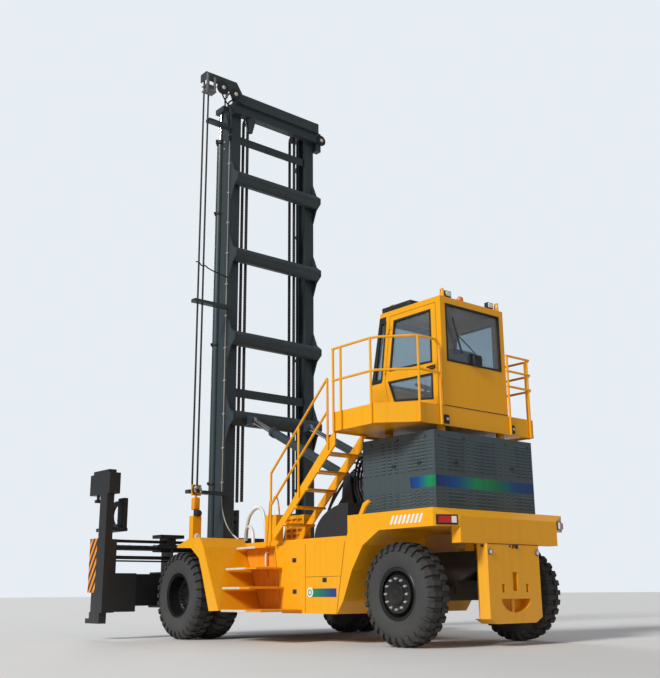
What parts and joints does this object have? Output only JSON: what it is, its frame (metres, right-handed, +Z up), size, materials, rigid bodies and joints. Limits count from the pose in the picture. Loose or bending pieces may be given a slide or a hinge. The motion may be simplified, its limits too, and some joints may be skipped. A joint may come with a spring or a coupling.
{
  "type": "empty container handler",
  "caption": "Counterbalanced truck on six tyres with a raised cab, a tilting two-stage mast and a telescopic side-lifting spreader for empty containers.",
  "frame": {"origin": "on the ground under the middle of the machine's length and width", "axes": "+X forward to the mast and spreader, +Y to the machine's left, +Z up"},
  "size_m": [6.767, 6.06, 10.455],
  "materials": {
    "yellow_paint": "gloss machine enamel",
    "battery_paint": "satin slate enamel",
    "mast_paint": "satin dark grey enamel",
    "grey_paint": "satin grey enamel",
    "black_paint": "satin black enamel",
    "tyre": "dusty tread rubber",
    "rod_chrome": "hard chrome",
    "steel": "oiled steel",
    "hose_rubber": "smooth hose",
    "dark_plastic": "grained",
    "seat_cloth": "woven",
    "glass": "clear safety glass",
    "lamp_red": "clear lens"
  },
  "bodies": {
    "chassis": {"chassis_frame": "black_paint", "drive_axle": "black_paint", "steer_axle": "black_paint", "counterweight": "yellow_paint", "rear_deck": "yellow_paint", "front_deck": "yellow_paint", "side_tanks": "yellow_paint", "front_fenders": "yellow_paint", "battery_box": "battery_paint", "fairing": "dark_plastic", "hydraulics": "black_paint", "cab_platform": "yellow_paint", "cab_shell": "yellow_paint", "cab_glass": "glass", "seat": "seat_cloth", "steering_column": "dark_plastic", "roof_unit": "dark_plastic", "stairs": "yellow_paint", "access_steps": "yellow_paint", "handrails": "yellow_paint", "stair_rails": "yellow_paint", "front_posts": "yellow_paint", "tail_lamps": "lamp_red"},
    "door": {"cab_door": "yellow_paint", "door_glass": "glass"},
    "wheels_front_left": {"front_tyres_left": "tyre", "front_rims_left": "black_paint"},
    "wheels_front_right": {"front_tyres_right": "tyre", "front_rims_right": "black_paint"},
    "knuckle_left": {"knuckle_left": "black_paint"},
    "knuckle_right": {"knuckle_right": "black_paint"},
    "wheel_rear_left": {"rear_tyre_left": "tyre", "rear_rim_left": "black_paint"},
    "wheel_rear_right": {"rear_tyre_right": "tyre", "rear_rim_right": "black_paint"},
    "mast_outer": {"mast_rails": "mast_paint", "mast_tubes": "mast_paint", "hose_arm": "mast_paint", "mast_hoses": "hose_rubber", "lift_barrels": "grey_paint"},
    "mast_inner": {"inner_rails": "mast_paint", "inner_ties": "mast_paint", "lift_rods": "rod_chrome", "mast_chains": "steel"},
    "carriage": {"carriage": "mast_paint"},
    "spreader": {"spreader_frame": "grey_paint"},
    "telescope_left": {"telescope_left": "grey_paint"},
    "telescope_right": {"telescope_right": "grey_paint"},
    "twistlock_left": {"twistlock_left": "steel"},
    "twistlock_right": {"twistlock_right": "steel"},
    "tilt_barrel_left": {"tilt_barrel_left": "grey_paint"},
    "tilt_barrel_right": {"tilt_barrel_right": "grey_paint"},
    "tilt_rod_left": {"tilt_rod_left": "rod_chrome"},
    "tilt_rod_right": {"tilt_rod_right": "rod_chrome"}
  },
  "joints": [
    {"name": "mast_tilt", "type": "hinge", "parent": "chassis", "child": "mast_outer", "pos_m": [1.9425, 0, 1.02], "axis": [0, 1, 0], "range_deg": [-5, 3]},
    {"name": "lift_inner", "type": "slide", "parent": "mast_outer", "child": "mast_inner", "axis": [0, 0, 1], "range_m": [0, 7.6]},
    {"name": "lift_carriage", "type": "slide", "parent": "mast_inner", "child": "carriage", "axis": [0, 0, 1], "range_m": [0, 7.6]},
    {"name": "side_shift", "type": "slide", "parent": "carriage", "child": "spreader", "axis": [0, 1, 0], "range_m": [-0.3, 0.3]},
    {"name": "telescope_left", "type": "slide", "parent": "spreader", "child": "telescope_left", "axis": [0, 1, 0], "range_m": [0, 3.066]},
    {"name": "telescope_right", "type": "slide", "parent": "spreader", "child": "telescope_right", "axis": [0, -1, 0], "range_m": [0, 3.066]},
    {"name": "twistlock_left", "type": "hinge", "parent": "telescope_left", "child": "twistlock_left", "pos_m": [3.2525, 2.927, 2.3], "axis": [0, 0, 1], "range_deg": [0, 90]},
    {"name": "twistlock_right", "type": "hinge", "parent": "telescope_right", "child": "twistlock_right", "pos_m": [3.2525, -2.927, 2.3], "axis": [0, 0, 1], "range_deg": [0, 90]},
    {"name": "cab_door", "type": "hinge", "parent": "chassis", "child": "door", "pos_m": [-1.6435, 0.717, 3.8], "axis": [0.1469, 0, -0.9892], "range_deg": [0, 50]},
    {"name": "steer_left", "type": "hinge", "parent": "chassis", "child": "knuckle_left", "pos_m": [-2.4475, 0.9, 0.685], "axis": [0, 0, 1], "range_deg": [-55, 55]},
    {"name": "roll_rear_left", "type": "hinge", "parent": "knuckle_left", "child": "wheel_rear_left", "pos_m": [-2.4475, 1.17, 0.685], "axis": [0, 1, 0], "continuous": true},
    {"name": "roll_front_left", "type": "hinge", "parent": "chassis", "child": "wheels_front_left", "pos_m": [1.8525, 1.74, 0.685], "axis": [0, 1, 0], "continuous": true},
    {"name": "tilt_swing_left", "type": "hinge", "parent": "chassis", "child": "tilt_barrel_left", "pos_m": [-0.7475, 0.65, 2.425], "axis": [0, 1, 0], "range_deg": [-2.2, 1.4]},
    {"name": "tilt_stroke_left", "type": "slide", "parent": "tilt_barrel_left", "child": "tilt_rod_left", "axis": [0.8971, 0, 0.4417], "range_m": [-0.22, 0.14]},
    {"name": "steer_right", "type": "hinge", "parent": "chassis", "child": "knuckle_right", "pos_m": [-2.4475, -0.9, 0.685], "axis": [0, 0, 1], "range_deg": [-55, 55]},
    {"name": "roll_rear_right", "type": "hinge", "parent": "knuckle_right", "child": "wheel_rear_right", "pos_m": [-2.4475, -1.17, 0.685], "axis": [0, 1, 0], "continuous": true},
    {"name": "roll_front_right", "type": "hinge", "parent": "chassis", "child": "wheels_front_right", "pos_m": [1.8525, -1.74, 0.685], "axis": [0, 1, 0], "continuous": true},
    {"name": "tilt_swing_right", "type": "hinge", "parent": "chassis", "child": "tilt_barrel_right", "pos_m": [-0.7475, -0.65, 2.425], "axis": [0, 1, 0], "range_deg": [-2.2, 1.4]},
    {"name": "tilt_stroke_right", "type": "slide", "parent": "tilt_barrel_right", "child": "tilt_rod_right", "axis": [0.8971, 0, 0.4417], "range_m": [-0.22, 0.14]}
  ],
  "couplings": [
    {"joint": "lift_carriage", "follows": "lift_inner", "ratio": 1},
    {"joint": "telescope_right", "follows": "telescope_left", "ratio": 1},
    {"joint": "twistlock_right", "follows": "twistlock_left", "ratio": 1},
    {"joint": "steer_right", "follows": "steer_left", "ratio": 1},
    {"joint": "tilt_swing_left", "follows": "mast_tilt", "ratio": 0.3853},
    {"joint": "tilt_stroke_left", "follows": "mast_tilt", "m_per_rad": 2.4626},
    {"joint": "tilt_swing_right", "follows": "mast_tilt", "ratio": 0.3853},
    {"joint": "tilt_stroke_right", "follows": "mast_tilt", "m_per_rad": 2.4626}
  ]
}
